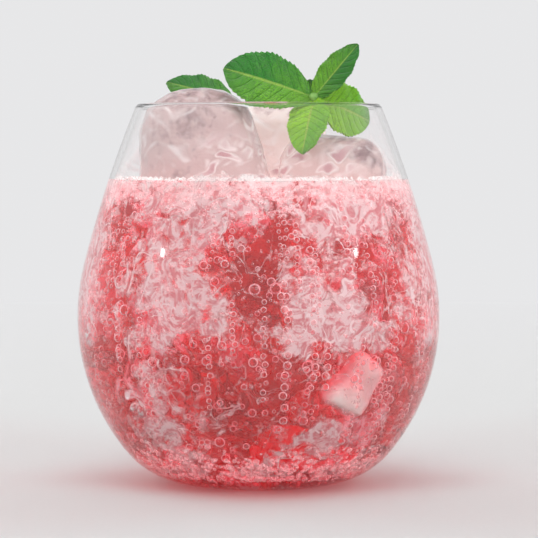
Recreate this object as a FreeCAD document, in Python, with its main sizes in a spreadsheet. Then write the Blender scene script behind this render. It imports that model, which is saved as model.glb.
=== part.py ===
"""A vodka tonic: a stemless balloon glass of pink fizzy drink with three lumps of ice and mint.

Millimetres, +Z up, origin under the middle of the foot, on the plane that the glass stands on.
-Y is the front. The glass is blown round, the ice is tray ice with its edges melted off, and
the drink fills the bowl up to its level, round the ice that floats in it.
"""

import FreeCAD
import Part
import Sketcher
import math
import os
from FreeCAD import Placement, Rotation, Vector

doc = FreeCAD.newDocument("vodka_tonic")


# ---------------------------------------------------------------- driving dimensions
sheet = doc.addObject("Spreadsheet::Sheet", "sizes")
rows_written = 0


def put(**values):
    """Writes each value in a cell of its own, with its name beside it and as its alias."""
    global rows_written
    for alias, value in values.items():
        rows_written += 1
        sheet.set(f"A{rows_written}", alias)
        sheet.set(f"B{rows_written}", str(value))
        sheet.setAlias(f"B{rows_written}", alias)


# the glass
put(
    glass_height=110.6,
    max_radius=53.0,
    max_radius_height=48.6,
    belly_radius=62.0,
    foot_curve_radius=25.0,
    upper_curve_radius=348.0,
    rim_radius=35.6,
    wall=1.5,
    base_thickness=4.5,
    floor_curve_radius=22.0,
    foot_ring_width=4.0,
    foot_recess=1.2,
    rim_rounding=0.68,
)

# the drink, and the clearances of what floats in it or rests on it
put(drink_level=87.6, rest_gap=0.25, wall_gap=0.2)

# Each lump of ice: its size at its waist, how far it reaches above and below the waist, how its
# sides lean in towards the top, how round its edges have melted, how far its top stands above
# the drink, where its middle is from front to back, and how it is turned.
ICE = {
    "ice_left": dict(
        width=28.0, upper=19.2, lower=19.0, lean=23.5, melt=8.1, proud=26.8, back=-6.9, yaw=3.0
    ),
    "ice_back": dict(
        width=24.0, upper=14.0, lower=21.0, lean=9.0, melt=8.0, proud=23.0, back=20.2, yaw=-3.0
    ),
    "ice_right": dict(
        width=25.0, upper=9.0, lower=19.5, lean=8.0, melt=7.6, proud=13.2, back=-6.4, yaw=-3.0
    ),
}  # fmt: skip
for lump, values in ICE.items():
    put(**{f"{lump}_{name}": value for name, value in values.items()})
# The two front lumps reach out past the mouth, below the rim, by the overhang. The right one has
# its own length, and the left one fills what is left of the glass's width.
put(
    ice_lower_lean=7.0,
    ice_overhang=2.9,
    ice_gap=1.7,
    ice_right_length=31.5,
    ice_back_length=42.0,
    ice_back_across=1.2,
)

# Each mint leaf: its size, the share of its length at which it is widest, how its two halves fold
# up from the midrib and how far its tip droops, then the way it grows from its joint: turned
# round +Z from +X, raised, and rolled on its midrib.
LEAVES = {
    "leaf_tall_left": dict(
        length=27.0, width=17.5, widest=0.54, fold=9.0, droop=2.0,
        turn=184.0, rise=19.5, twist=-66.0,
    ),
    "leaf_tall_right": dict(
        length=19.6, width=8.6, widest=0.46, fold=12.0, droop=1.0,
        turn=-7.0, rise=51.0, twist=78.0,
    ),
    "leaf_low_right": dict(
        length=19.2, width=16.5, widest=0.54, fold=7.0, droop=1.5,
        turn=22.0, rise=-19.5, twist=68.0,
    ),
    "leaf_low_front": dict(
        length=18.6, width=12.4, widest=0.42, fold=11.0, droop=1.0,
        turn=246.0, rise=-58.0, twist=2.0,
    ),
    "leaf_young_right": dict(
        length=9.0, width=5.0, widest=0.45, fold=24.0, droop=-0.5,
        turn=40.0, rise=30.0, twist=40.0,
    ),
    "leaf_young_left": dict(
        length=6.0, width=4.0, widest=0.45, fold=26.0, droop=-0.5,
        turn=110.0, rise=55.0, twist=-20.0,
    ),
    "leaf_loose": dict(
        length=20.4, width=13.0, widest=0.45, fold=10.0, droop=1.5,
        turn=174.0, rise=19.0, twist=-42.0,
    ),
}  # fmt: skip
for leaf, values in LEAVES.items():
    put(**{f"{leaf}_{name}": value for name, value in values.items()})
put(
    leaf_thickness=0.5,
    leaf_stalk_width=1.6,
    stem_radius=1.1,
    stem_lean=25.0,
    joint_radius=1.5,
    joint_across=-5.4,
    joint_forward=8.7,
    joint_height=11.2,
    loose_across=-9.4,
    loose_forward=2.6,
    loose_rise=1.35,
)
doc.recompute()


def size(alias):
    return float(sheet.get(alias))


def value_of(expression):
    """The number that an expression on the sheet comes to."""
    return float(sheet.evalExpression(expression))


# ---------------------------------------------------------------- sketch helpers
def origin_plane(body, role):
    return next(f for f in body.Origin.OriginFeatures if f.Role == role)


def new_sketch(body, name, role):
    sketch = body.newObject("Sketcher::SketchObject", name)
    sketch.AttachmentSupport = [(origin_plane(body, role), "")]
    sketch.MapMode = "FlatFace"
    return sketch


def arc_between(centre, radius, start, end):
    """An arc round centre, from angle start to angle end, in degrees."""
    circle = Part.Circle(Vector(*centre, 0), Vector(0, 0, 1), radius)
    return Part.ArcOfCircle(circle, math.radians(start), math.radians(end))


def line_between(start, end):
    return Part.LineSegment(Vector(*start, 0), Vector(*end, 0))


def dimension(sketch, name, expression, *constraint):
    """Adds a dimension whose value is bound to the sheet."""
    index = sketch.addConstraint(Sketcher.Constraint(*constraint))
    sketch.renameConstraint(index, name)
    sketch.setExpression(f"Constraints.{name}", expression)


def place(item, point, turn):
    """Binds an object's placement to the sheet: x, y and z, then yaw, pitch and roll."""
    vector = f"vector({'; '.join(point)})"
    item.setExpression("Placement", f"placement({vector}; rotation({'; '.join(turn)}))")


START, END, CENTRE = 1, 2, 3
ORIGIN, X_AXIS, Y_AXIS = (-1, 1), -1, -2


def bowl_arcs(inset, corner_radius, bottom, top):
    """The three tangent arcs of the bowl's outline, set in by inset from its outside: the corner
    that turns up from the plane at height bottom, the belly, and the upper curve, which ends
    at height top. Each is (centre, radius, start angle, end angle)."""
    belly = size("belly_radius")
    upper = size("upper_curve_radius")
    belly_centre = (size("max_radius") - belly, size("max_radius_height"))
    # The corner touches the plane and lies inside the belly.
    corner_height = bottom + corner_radius
    drop = belly_centre[1] - corner_height
    reach = math.sqrt((belly - inset - corner_radius) ** 2 - drop**2)
    corner_centre = (belly_centre[0] + reach, corner_height)
    corner_end = -math.degrees(math.atan2(drop, reach))
    # The upper curve wraps the belly and passes through the outer edge of the rim.
    rim = Vector(size("rim_radius") - belly_centre[0], size("glass_height") - belly_centre[1], 0)
    gap = upper - belly
    along = (upper**2 - gap**2 - rim.Length**2) / (2 * gap)
    turn = math.atan2(rim.y, rim.x) - math.acos(along / rim.Length)
    upper_centre = (
        belly_centre[0] - gap * math.cos(turn),
        belly_centre[1] - gap * math.sin(turn),
    )
    upper_end = math.degrees(math.asin((top - upper_centre[1]) / (upper - inset)))
    belly_end = math.degrees(turn)
    return [
        (corner_centre, corner_radius, -90, corner_end),
        (belly_centre, belly - inset, corner_end, belly_end),
        (upper_centre, upper - inset, belly_end, upper_end),
    ]


def on_circle(centre, radius, degrees):
    angle = math.radians(degrees)
    return (centre[0] + radius * math.cos(angle), centre[1] + radius * math.sin(angle))


def bowl_outline(sketch, inset, corner, bottom, top):
    """Draws half of a bowl in section, from the axis out along the plane at bottom, up the three
    arcs and back to the axis at top. inset, corner, bottom and top are expressions on the sheet."""
    numbers = [value_of(text) for text in (inset, corner, bottom, top)]
    arcs = bowl_arcs(*numbers)
    floor_end = on_circle(*arcs[0][:3])
    top_end = on_circle(arcs[2][0], arcs[2][1], arcs[2][3])
    floor, corner_arc, belly_arc, upper_arc, lid, axis = range(6)
    sketch.addGeometry(line_between((0, numbers[2]), floor_end))
    for arc in arcs:
        sketch.addGeometry(arc_between(*arc))
    sketch.addGeometry(line_between(top_end, (0, top_end[1])))
    sketch.addGeometry(line_between((0, top_end[1]), (0, numbers[2])))
    sketch.addConstraint(
        [
            Sketcher.Constraint("Horizontal", floor),
            Sketcher.Constraint("Tangent", floor, END, corner_arc, START),
            Sketcher.Constraint("Tangent", corner_arc, END, belly_arc, START),
            Sketcher.Constraint("Tangent", belly_arc, END, upper_arc, START),
            Sketcher.Constraint("Coincident", upper_arc, END, lid, START),
            Sketcher.Constraint("Horizontal", lid),
            Sketcher.Constraint("Coincident", lid, END, axis, START),
            Sketcher.Constraint("Coincident", axis, END, floor, START),
            Sketcher.Constraint("PointOnObject", lid, END, Y_AXIS),
        ]
    )
    # The outer line of the upper curve, which passes through the outer edge of the rim.
    guide = sketch.addGeometry(
        Part.Circle(Vector(*arcs[2][0], 0), Vector(0, 0, 1), size("upper_curve_radius")), True
    )
    rim_point = sketch.addGeometry(
        Part.Point(Vector(size("rim_radius"), size("glass_height"), 0)), True
    )
    sketch.addConstraint(Sketcher.Constraint("Coincident", guide, CENTRE, upper_arc, CENTRE))
    sketch.addConstraint(Sketcher.Constraint("PointOnObject", rim_point, START, guide))
    rim = (size("rim_radius"), size("glass_height"))
    belly_centre = arcs[1][0]
    for name, expression, *constraint in (
        ("guide", "sizes.upper_curve_radius", "Radius", guide, size("upper_curve_radius")),
        ("rim_x", "sizes.rim_radius", "DistanceX", *ORIGIN, rim_point, START, rim[0]),
        ("rim_y", "sizes.glass_height", "DistanceY", *ORIGIN, rim_point, START, rim[1]),
        ("upper", f"sizes.upper_curve_radius - ({inset})", "Radius", upper_arc, arcs[2][1]),
        ("belly", f"sizes.belly_radius - ({inset})", "Radius", belly_arc, arcs[1][1]),
        (
            "belly_x", "sizes.max_radius - sizes.belly_radius",
            "DistanceX", *ORIGIN, belly_arc, CENTRE, belly_centre[0],
        ),
        (
            "belly_y", "sizes.max_radius_height",
            "DistanceY", *ORIGIN, belly_arc, CENTRE, belly_centre[1],
        ),
        ("corner", corner, "Radius", corner_arc, numbers[1]),
        ("top", top, "DistanceY", *ORIGIN, lid, END, numbers[3]),
    ):  # fmt: skip
        dimension(sketch, name, expression, *constraint)
    if numbers[2]:
        sketch.addConstraint(Sketcher.Constraint("PointOnObject", floor, START, Y_AXIS))
        dimension(sketch, "bottom", bottom, "DistanceY", *ORIGIN, floor, START, numbers[2])
    else:
        sketch.addConstraint(Sketcher.Constraint("Coincident", floor, START, *ORIGIN))


def revolved(body, kind, sketch, name):
    """Turns a sketch right round its vertical axis, to add (Revolution) or cut (Groove)."""
    feature = body.newObject(f"PartDesign::{kind}", name)
    feature.Profile = sketch
    feature.ReferenceAxis = (sketch, ["V_Axis"])
    feature.Angle = 360.0
    doc.recompute()
    return feature


# ---------------------------------------------------------------- glass
OVERRUN = "1.0"  # how far the cavity's cutter runs past the rim


def make_glass():
    """The stemless glass: the outside turned solid, the inside cut out, a rounded rim, and
    a shallow recess that leaves the foot standing on a ring."""
    body = doc.addObject("PartDesign::Body", "glass_body")
    body.Label = "glass"
    outside = new_sketch(body, "outside", "XZ_Plane")
    bowl_outline(outside, "0", "sizes.foot_curve_radius", "0", "sizes.glass_height")
    blank = revolved(body, "Revolution", outside, "blank")
    inside = new_sketch(body, "inside", "XZ_Plane")
    bowl_outline(
        inside,
        "sizes.wall",
        "sizes.floor_curve_radius",
        "sizes.base_thickness",
        f"sizes.glass_height + {OVERRUN}",
    )
    hollow = revolved(body, "Groove", inside, "hollow")
    recess = new_sketch(body, "recess", "XZ_Plane")
    recess_outline(recess)
    footed = revolved(body, "Groove", recess, "footed")
    assert footed.Shape.Volume < hollow.Shape.Volume < blank.Shape.Volume
    rim = body.newObject("PartDesign::Fillet", "rim")
    rim.Base = (footed, rim_edges(footed.Shape))
    rim.setExpression("Radius", "min(sizes.rim_rounding; 0.46 * sizes.wall)")
    doc.recompute()
    return body


def recess_outline(sketch):
    """A shallow dome under the foot, inside the ring that it stands on."""
    foot_radius = bowl_arcs(0, size("foot_curve_radius"), 0, size("glass_height"))[0][0][0]
    rise = size("foot_recess")
    edge = foot_radius - size("foot_ring_width")
    dome = (edge**2 + rise**2) / (2 * rise)
    tilt = math.degrees(math.asin(edge / dome))
    arc, base, axis = range(3)
    sketch.addGeometry(arc_between((0, rise - dome), dome, 90 - tilt, 90))
    sketch.addGeometry(line_between((0, 0), (edge, 0)))
    sketch.addGeometry(line_between((0, rise), (0, 0)))
    sketch.addConstraint(
        [
            Sketcher.Constraint("Coincident", base, START, *ORIGIN),
            Sketcher.Constraint("Horizontal", base),
            Sketcher.Constraint("Coincident", base, END, arc, START),
            Sketcher.Constraint("Coincident", arc, END, axis, START),
            Sketcher.Constraint("Coincident", axis, END, *ORIGIN),
            Sketcher.Constraint("PointOnObject", axis, START, Y_AXIS),
            Sketcher.Constraint("PointOnObject", arc, CENTRE, Y_AXIS),
        ]
    )
    dimension(sketch, "rise", "sizes.foot_recess", "DistanceY", *ORIGIN, axis, START, rise)
    index = sketch.addConstraint(Sketcher.Constraint("DistanceX", *ORIGIN, base, END, edge))
    sketch.renameConstraint(index, "recess_radius")


def rim_edges(shape):
    """The names of the two round edges on the rim's flat top."""
    return [
        f"Edge{number}"
        for number, edge in enumerate(shape.Edges, 1)
        if abs(edge.BoundBox.ZMin - size("glass_height")) < 1e-4
        and edge.BoundBox.ZLength < 1e-4
    ]


# ---------------------------------------------------------------- ice
MOUTH = "(sizes.rim_radius - sizes.wall)"
OUTSIDE = f"({MOUTH} + sizes.ice_overhang)"  # the outer sides of the front lumps, from the axis
LENGTHS = {
    "ice_left": f"(2 * {OUTSIDE} - sizes.ice_right_length - sizes.ice_gap)",
    "ice_back": "sizes.ice_back_length",
    "ice_right": "sizes.ice_right_length",
}
ACROSS = {
    "ice_left": f"({LENGTHS['ice_left']} / 2 - {OUTSIDE})",
    "ice_back": "sizes.ice_back_across",
    "ice_right": f"({OUTSIDE} - sizes.ice_right_length / 2)",
}


def make_room():
    """The inside of the glass less a clearance, carried on above the rim: room for the ice."""
    body = doc.addObject("PartDesign::Body", "room_body")
    inset = "sizes.wall + sizes.wall_gap"
    profile = new_sketch(body, "room_section", "XZ_Plane")
    floor = "sizes.base_thickness + sizes.wall_gap"
    above = "sizes.glass_height + sizes.ice_left_proud"
    bowl_outline(profile, inset, "sizes.floor_curve_radius", floor, above)
    revolved(body, "Revolution", profile, "room")
    return body


def make_block(name):
    """A block of tray ice, leaning in above and below its waist, with its edges melted round."""
    body = doc.addObject("PartDesign::Body", f"{name}_body")
    outline = new_sketch(body, f"{name}_waist", "XY_Plane")
    half_length, half_width = value_of(LENGTHS[name]) / 2, size(f"{name}_width") / 2
    corners = [
        (-half_length, -half_width),
        (half_length, -half_width),
        (half_length, half_width),
        (-half_length, half_width),
    ]
    for index, corner in enumerate(corners):
        outline.addGeometry(line_between(corner, corners[(index + 1) % 4]))
    front, right, rear, left = range(4)
    outline.addConstraint(
        [Sketcher.Constraint("Coincident", side, END, (side + 1) % 4, START) for side in range(4)]
        + [Sketcher.Constraint("Horizontal", side) for side in (front, rear)]
        + [Sketcher.Constraint("Vertical", side) for side in (left, right)]
        + [Sketcher.Constraint("Symmetric", front, START, rear, START, *ORIGIN)]
    )
    dimension(
        outline, "length", LENGTHS[name], "DistanceX", front, START, front, END, 2 * half_length
    )
    dimension(
        outline, "width", f"sizes.{name}_width",
        "DistanceY", right, START, right, END, 2 * half_width,
    )  # fmt: skip
    block = body.newObject("PartDesign::Pad", f"{name}_block")
    block.Profile = outline
    block.SideType = "Two sides"
    block.setExpression("Length", f"sizes.{name}_upper")
    block.setExpression("Length2", f"sizes.{name}_lower")
    block.setExpression("TaperAngle", f"-sizes.{name}_lean")
    block.setExpression("TaperAngle2", "-sizes.ice_lower_lean")
    doc.recompute()
    melted = body.newObject("PartDesign::Fillet", f"{name}_melted")
    melted.Base = (block, [f"Edge{n + 1}" for n in range(len(block.Shape.Edges))])
    melted.setExpression("Radius", f"sizes.{name}_melt")
    return body


def make_lump(name, room):
    """A lump that floats with its top above the drink, kept clear of the glass's wall."""
    block = make_block(name)
    waist_height = f"sizes.drink_level + sizes.{name}_proud - sizes.{name}_upper"
    place(
        block,
        (ACROSS[name], f"sizes.{name}_back", waist_height),
        (f"sizes.{name}_yaw", "0", "0"),
    )
    lump = doc.addObject("Part::Common", f"{name}_lump")
    lump.Label = name
    lump.Base = block
    lump.Tool = room
    doc.recompute()
    return lump


# ---------------------------------------------------------------- drink
def make_drink(lumps):
    """The drink: the inside of the glass up to the drink's level, less what the ice takes up."""
    body = doc.addObject("PartDesign::Body", "drink_body")
    profile = new_sketch(body, "drink_section", "XZ_Plane")
    bowl_outline(
        profile,
        "sizes.wall",
        "sizes.floor_curve_radius",
        "sizes.base_thickness",
        "sizes.drink_level",
    )
    revolved(body, "Revolution", profile, "drink_full")
    ice = doc.addObject("Part::MultiFuse", "ice_together")
    ice.Shapes = lumps
    drink = doc.addObject("Part::Cut", "drink_cut")
    drink.Label = "drink"
    drink.Base = body
    drink.Tool = ice
    doc.recompute()
    return drink


# ---------------------------------------------------------------- mint
LEAF_SECTIONS = 9
BLADE_FULLNESS = 0.66  # below 1 the leaf's outline is blunter than a sine wave


def leaf_section(name, share):
    """The closed outline across a leaf, at this share of its length from the stalk. The blade's
    two halves rise from the midrib and bend down again towards their edges."""
    length, width = size(f"{name}_length"), size(f"{name}_width")
    thickness, stalk = size("leaf_thickness"), size("leaf_stalk_width")
    skew = math.log(0.5) / math.log(size(f"{name}_widest"))
    outline = abs(math.sin(math.pi * share**skew)) ** BLADE_FULLNESS
    ends = stalk / 2 * (1 - share) + thickness / 2 * share
    half = max(width / 2 * outline, ends)
    rise = math.tan(math.radians(size(f"{name}_fold")))
    droop = -size(f"{name}_droop") * share**2
    upper = []
    for step in range(-4, 5):
        y = half * step / 4
        fold = rise * abs(y) * (1 - 0.45 * abs(step) / 4)
        upper.append(Vector(length * share, y, droop + fold))
    lower = [point - Vector(0, 0, thickness) for point in reversed(upper)]
    return Part.makePolygon(upper + lower + upper[:1])


def leaf_solid(name):
    """A leaf along +X with its stalk end at the origin."""
    shares = [index / (LEAF_SECTIONS - 1) for index in range(LEAF_SECTIONS)]
    return Part.makeLoft([leaf_section(name, share) for share in shares], True, False)


def add_leaf(name, point):
    """A leaf that grows from a point, given as expressions."""
    leaf = doc.addObject("Part::Feature", name)
    leaf.Shape = leaf_solid(name)
    turn = (f"sizes.{name}_turn", f"-sizes.{name}_rise", f"sizes.{name}_twist")
    place(leaf, point, turn)
    return leaf


def make_sprig():
    """The mint sprig: six leaves on one joint, and a short stem that stands on the right lump."""
    joint = (
        f"{ACROSS['ice_right']} + sizes.joint_across",
        "sizes.ice_right_back - sizes.joint_forward",
        "sizes.drink_level + sizes.ice_right_proud + sizes.rest_gap + sizes.joint_height",
    )
    leaves = [add_leaf(name, joint) for name in LEAVES if name != "leaf_loose"]
    knot = doc.addObject("Part::Sphere", "sprig_joint")
    knot.setExpression("Radius", "sizes.joint_radius")
    place(knot, joint, ("0", "0", "0"))
    # The stem's cut end is tilted with it, so its lower edge is what stands on the lump.
    stem = doc.addObject("Part::Cylinder", "sprig_stem")
    stem.setExpression("Radius", "sizes.stem_radius")
    tilt = "(sizes.stem_lean * 1 deg)"
    reach = f"sizes.joint_height - sizes.stem_radius * sin{tilt}"
    stem.setExpression("Height", f"({reach}) / cos{tilt}")
    place(stem, joint, ("0", "0", "180 + sizes.stem_lean"))
    sprig = doc.addObject("Part::MultiFuse", "sprig")
    sprig.Label = "mint_sprig"
    sprig.Shapes = [*leaves, knot, stem]
    doc.recompute()
    return sprig


def make_loose_leaf():
    """The single leaf behind the left lump, with its stalk on the back lump."""
    stalk = (
        f"{ACROSS['ice_back']} + sizes.loose_across",
        "sizes.ice_back_back - sizes.loose_forward",
        "sizes.drink_level + sizes.ice_back_proud + sizes.loose_rise",
    )
    leaf = add_leaf("leaf_loose", stalk)
    leaf.Label = "mint_leaf"
    return leaf


# ---------------------------------------------------------------- build and write
def check(objects):
    """Stops the build if any object failed or any sub-part isn't one valid solid."""
    for item in doc.Objects:
        if "Invalid" in item.State or "Error" in item.State:
            raise RuntimeError(f"{item.Name} failed: {item.State}")
        if item.isDerivedFrom("Sketcher::SketchObject") and item.solve() != 0:
            raise RuntimeError(f"sketch {item.Name} doesn't solve")
    for item in objects:
        shape = item.Shape
        if shape.isNull() or not shape.isValid() or len(shape.Solids) != 1:
            raise RuntimeError(f"{item.Label} isn't one valid solid")


room = make_room()
lumps = [make_lump(name, room) for name in ICE]
parts = [make_glass(), make_drink(lumps), *lumps, make_sprig(), make_loose_leaf()]
doc.recompute()
check(parts)

os.makedirs("parts", exist_ok=True)
for part in parts:
    part.Shape.exportStep(os.path.join("parts", f"{part.Label}.step"))
    box = part.Shape.BoundBox
    print(
        f"{part.Label}: {part.Shape.Volume / 1000:.2f} ml, "
        f"x {box.XMin:.1f}..{box.XMax:.1f}, y {box.YMin:.1f}..{box.YMax:.1f}, "
        f"z {box.ZMin:.1f}..{box.ZMax:.1f}"
    )
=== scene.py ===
"""A vodka tonic: pink fizzy drink in a stemless balloon glass, with ice and mint."""

import math
import random

import bmesh
import bpy
import numpy as np
from mathutils import Matrix, Vector


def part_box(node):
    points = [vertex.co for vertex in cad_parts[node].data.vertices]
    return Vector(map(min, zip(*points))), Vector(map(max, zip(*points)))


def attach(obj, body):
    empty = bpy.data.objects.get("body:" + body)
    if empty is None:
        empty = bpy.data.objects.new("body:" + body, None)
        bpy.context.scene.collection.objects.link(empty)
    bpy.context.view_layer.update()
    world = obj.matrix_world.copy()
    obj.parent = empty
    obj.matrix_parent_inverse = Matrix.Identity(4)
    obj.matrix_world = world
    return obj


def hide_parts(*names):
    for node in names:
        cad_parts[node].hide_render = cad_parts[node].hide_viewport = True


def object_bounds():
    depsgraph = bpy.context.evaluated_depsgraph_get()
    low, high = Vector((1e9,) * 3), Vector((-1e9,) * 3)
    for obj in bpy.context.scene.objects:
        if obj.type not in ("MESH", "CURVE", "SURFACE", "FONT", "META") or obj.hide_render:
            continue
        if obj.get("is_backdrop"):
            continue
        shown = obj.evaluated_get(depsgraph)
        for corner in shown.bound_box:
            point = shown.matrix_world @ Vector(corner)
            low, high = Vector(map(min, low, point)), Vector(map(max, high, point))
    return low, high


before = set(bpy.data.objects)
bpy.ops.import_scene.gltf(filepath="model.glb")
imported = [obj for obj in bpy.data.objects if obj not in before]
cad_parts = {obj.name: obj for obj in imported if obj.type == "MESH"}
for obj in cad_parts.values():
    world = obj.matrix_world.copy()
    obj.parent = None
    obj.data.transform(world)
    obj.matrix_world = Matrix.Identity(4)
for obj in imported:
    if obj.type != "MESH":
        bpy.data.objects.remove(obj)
cad_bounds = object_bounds()


# ---------------------------------------------------------------- the glass
# A stemless balloon tumbler of clear soda glass, blown in one piece: a flat foot with a shallow
# recess, a wide belly, and a thin wall that draws in to a fire-polished rim.
GLASS_LOW, GLASS_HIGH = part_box("glass")
GLASS_HEIGHT = GLASS_HIGH.z
MAX_RADIUS = (GLASS_HIGH.x - GLASS_LOW.x) / 2
MAX_RADIUS_HEIGHT = 0.0486
BELLY_RADIUS = 0.062
UPPER_RADIUS = 0.348
RIM_RADIUS = 0.0356
FOOT_CURVE = 0.025
WALL = 0.0015
FLOOR = 0.0045
FLOOR_CURVE = 0.022
FOOT_RING = 0.004
FOOT_RECESS = 0.0012
ARC_STEP = 0.0011  # between points along the bowl's outline
TURNS = 176  # steps round a turned piece


def bowl_arcs(inset, corner, bottom):
    """The corner, belly and upper arcs of the bowl, set in from its outside, as (centre, radius,
    start, end), with the upper arc's end left to whoever draws it."""
    belly = Vector((MAX_RADIUS - BELLY_RADIUS, MAX_RADIUS_HEIGHT))
    drop = belly.y - bottom - corner
    reach = math.sqrt((BELLY_RADIUS - inset - corner) ** 2 - drop**2)
    turn_low = -math.atan2(drop, reach)
    rim = Vector((RIM_RADIUS, GLASS_HEIGHT)) - belly
    gap = UPPER_RADIUS - BELLY_RADIUS
    along = (UPPER_RADIUS**2 - gap**2 - rim.length_squared) / (2 * gap)
    turn_high = math.atan2(rim.y, rim.x) - math.acos(along / rim.length)
    upper = belly - gap * Vector((math.cos(turn_high), math.sin(turn_high)))
    return (
        ((belly.x + reach, bottom + corner), corner, -math.pi / 2, turn_low),
        (belly, BELLY_RADIUS - inset, turn_low, turn_high),
        (upper, UPPER_RADIUS - inset, turn_high, None),
    )


def arc_points(centre, radius, turns):
    return [(centre[0] + radius * math.cos(a), centre[1] + radius * math.sin(a)) for a in turns]


def bowl_line(inset, corner, bottom, top):
    """(radius, height) points up the side of a bowl, from the end of its flat bottom to top."""
    points = []
    for centre, radius, start, end in bowl_arcs(inset, corner, bottom):
        if end is None:
            end = math.asin((top - centre[1]) / radius)
        count = max(2, math.ceil(abs(end - start) * radius / ARC_STEP))
        turns = np.linspace(start, end, count)[1 if points else 0 :]
        points += arc_points(centre, radius, turns)
    return points


def inner_radius(height):
    """How far from the axis the inside of the wall is at this height."""
    corner, belly, upper = bowl_arcs(WALL, FLOOR_CURVE, FLOOR)
    low = belly[0][1] + belly[1] * math.sin(belly[2])
    high = belly[0][1] + belly[1] * math.sin(belly[3])
    centre, radius = (corner if height < low else belly if height < high else upper)[:2]
    return centre[0] + math.sqrt(max(radius**2 - (height - centre[1]) ** 2, 0))


def start_piece(add, name, **where):
    """Adds a primitive with nothing else selected, and names it."""
    bpy.ops.object.select_all(action="DESELECT")
    add(**where)
    piece = bpy.context.object
    piece.name = name
    piece.data.name = name
    return piece


def turned(name, line, angle=40):
    """Turns a line of (radius, height) points right round +Z, sharp where it bends past angle."""
    piece = start_piece(bpy.ops.mesh.primitive_plane_add, name, size=0.001)
    bpy.ops.object.mode_set(mode="EDIT")
    bpy.ops.mesh.select_all(action="SELECT")
    bpy.ops.mesh.merge(type="CENTER")
    bpy.ops.transform.translate(value=(line[0][0], 0, line[0][1]))
    for (r0, z0), (r1, z1) in zip(line, line[1:]):
        step = (r1 - r0, 0, z1 - z0)
        bpy.ops.mesh.extrude_vertices_move(TRANSFORM_OT_translate={"value": step})
    bpy.ops.mesh.select_all(action="SELECT")
    bpy.ops.mesh.spin(steps=TURNS, angle=2 * math.pi, center=(0, 0, 0), axis=(0, 0, 1))
    bpy.ops.mesh.select_all(action="SELECT")
    bpy.ops.mesh.remove_doubles(threshold=2e-6)
    bpy.ops.mesh.normals_make_consistent(inside=False)
    bpy.ops.object.mode_set(mode="OBJECT")
    bpy.ops.object.shade_smooth_by_angle(angle=math.radians(angle))
    return piece


def fill(tree, socket, value):
    """Gives a socket a value, or a link from a socket or from a node's first output."""
    if isinstance(value, bpy.types.Node):
        value = value.outputs[0]
    if isinstance(value, bpy.types.NodeSocket):
        tree.links.new(value, socket)
    elif socket.type == "RGBA":
        socket.default_value = (*value, 1)
    else:
        socket.default_value = value


def node_maker(tree):
    """A function that adds a shader node. Its inputs come in their order, or by name with _ for
    each space, and its own settings in small letters. A MapRange takes a value, where it starts
    and ends, and what it gives there if that is not 0 and 1."""

    def node(kind, *values, **named):
        made = tree.nodes.new(f"ShaderNode{kind}")
        for key, value in named.items():
            if key.islower():
                setattr(made, key, value)
        for number, value in enumerate(values):
            fill(tree, made.inputs[number], value)
        for key, value in named.items():
            if not key.islower():
                fill(tree, made.inputs[key.replace("_", " ")], value)
        return made

    return node


def maths(node, operation, first, *others):
    """Joins numbers by an operation on two of them, from left to right."""
    for other in others:
        first = node("Math", first, other, operation=operation)
    return first


def new_material(name):
    """An empty node material, as a function that adds nodes to it and one that finishes it.
    Lamps shine through a surface that is given a tint, so that they light what is inside."""
    material = bpy.data.materials.new(name)
    material.use_nodes = True
    material.node_tree.nodes.clear()
    node = node_maker(material.node_tree)

    def finish(surface, tint=None, **more):
        if tint:
            from_lamp = node("LightPath").outputs["Is Shadow Ray"]
            surface = node("MixShader", from_lamp, surface, node("BsdfTransparent", Color=tint))
        node("OutputMaterial", Surface=surface, **more)
        return material

    return node, finish


def new_group(name, inputs, outputs):
    """An empty node group that gives out numbers, as its given sockets, a function that adds
    nodes to it and one that finishes it."""
    group = bpy.data.node_groups.new(name, "ShaderNodeTree")
    for socket in inputs:
        kind = "NodeSocketVector" if socket in ("Vector", "UV") else "NodeSocketFloat"
        group.interface.new_socket(name=socket, in_out="INPUT", socket_type=kind)
    for socket in outputs:
        group.interface.new_socket(name=socket, in_out="OUTPUT", socket_type="NodeSocketFloat")
    given = group.nodes.new("NodeGroupInput").outputs

    def finish(*masks):
        result = group.nodes.new("NodeGroupOutput")
        for socket, mask in zip(outputs, masks, strict=True):
            fill(group, result.inputs[socket], mask)
        return group

    return given, node_maker(group), finish


def clear_glass():
    """Clear glass whose edges, where one looks along the wall, take a thin warm grey line: painted
    shade and reflection, set in its colour by how edge-on the wall is seen.
    """
    node, finish = new_material("clear_glass")
    # painted shade and reflection: the colour turns warm grey where the wall is seen edge-on
    line = node("ValToRGB", node("LayerWeight", Blend=0.2).outputs["Facing"])
    stops = line.color_ramp.elements
    stops[0].position = 0.35
    stops[0].color = (0.985, 0.985, 0.985, 1)
    stops[1].position = 0.92
    stops[1].color = (0.36, 0.23, 0.21, 1)
    glass = node(
        "BsdfPrincipled", Base_Color=line, Roughness=0.0, IOR=1.5, Transmission_Weight=1.0
    )
    return finish(glass, (0.99, 0.99, 0.99))


foot_edge = bowl_arcs(0, FOOT_CURVE, 0)[0][0][0]
recess_edge = foot_edge - FOOT_RING
recess_radius = (recess_edge**2 + FOOT_RECESS**2) / (2 * FOOT_RECESS)
recess_tilt = math.degrees(math.asin(recess_edge / recess_radius))
recess_centre = (0, FOOT_RECESS - recess_radius)
rim_middle = (RIM_RADIUS - WALL / 2 + 0.00002, GLASS_HEIGHT - WALL / 2)
wall_top = GLASS_HEIGHT - WALL / 2
glass_line = arc_points(recess_centre, recess_radius, np.radians(np.linspace(90, 90 - recess_tilt, 14)))
glass_line += bowl_line(0, FOOT_CURVE, 0, wall_top)
glass_line += arc_points(rim_middle, WALL / 2, np.radians(np.linspace(10, 170, 9)))
glass_line += bowl_line(WALL, FLOOR_CURVE, FLOOR, wall_top)[::-1]
glass_line += [(0, FLOOR)]

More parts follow.
